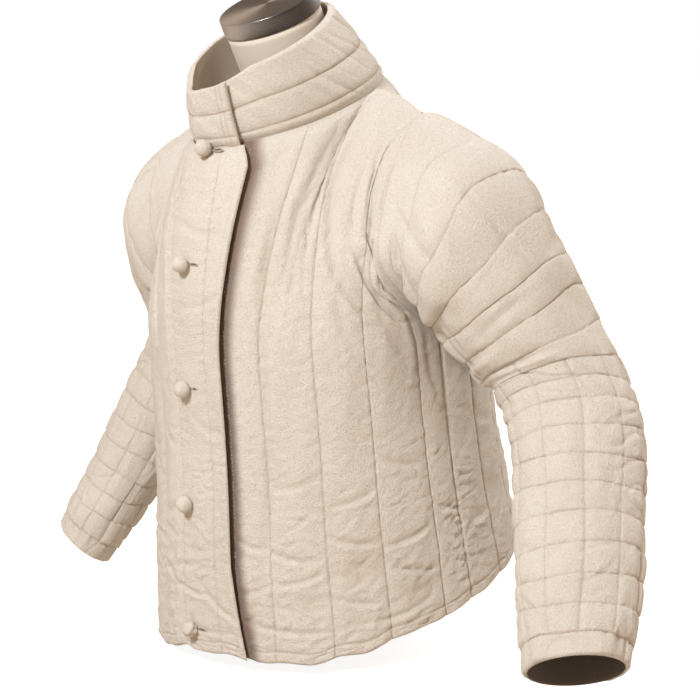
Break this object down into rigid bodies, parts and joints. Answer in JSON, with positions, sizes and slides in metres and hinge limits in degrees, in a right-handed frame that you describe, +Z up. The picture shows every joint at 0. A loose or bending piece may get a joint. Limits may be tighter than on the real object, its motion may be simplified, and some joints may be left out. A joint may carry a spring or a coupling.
{
  "type": "quilted fencing jacket on a dress form",
  "caption": "Padded cotton jacket with quilted channels, standing collar, lapped front with covered ball buttons and bent open sleeves, on a limbless dress form.",
  "frame": {"origin": "middle of the dress form's flat underside, which stands on a level surface", "axes": "+Z up; the wearer faces -Y, the wearer's left is +X"},
  "size_m": [0.9247, 0.4286, 0.738],
  "materials": {
    "quilted_cotton": "natural undyed cotton, matt, quilted",
    "form_cover": "smooth undyed cotton cover, matt",
    "neck_steel": "brushed round the disc and round its edge"
  },
  "bodies": {
    "root": {"left_front": "quilted_cotton", "right_front": "quilted_cotton", "back": "quilted_cotton", "left_sleeve": "quilted_cotton", "right_sleeve": "quilted_cotton", "collar": "quilted_cotton", "button_1": "quilted_cotton", "button_2": "quilted_cotton", "button_3": "quilted_cotton", "button_4": "quilted_cotton", "button_5": "quilted_cotton", "dress_form": "form_cover", "neck_cap": "neck_steel"}
  },
  "joints": []
}
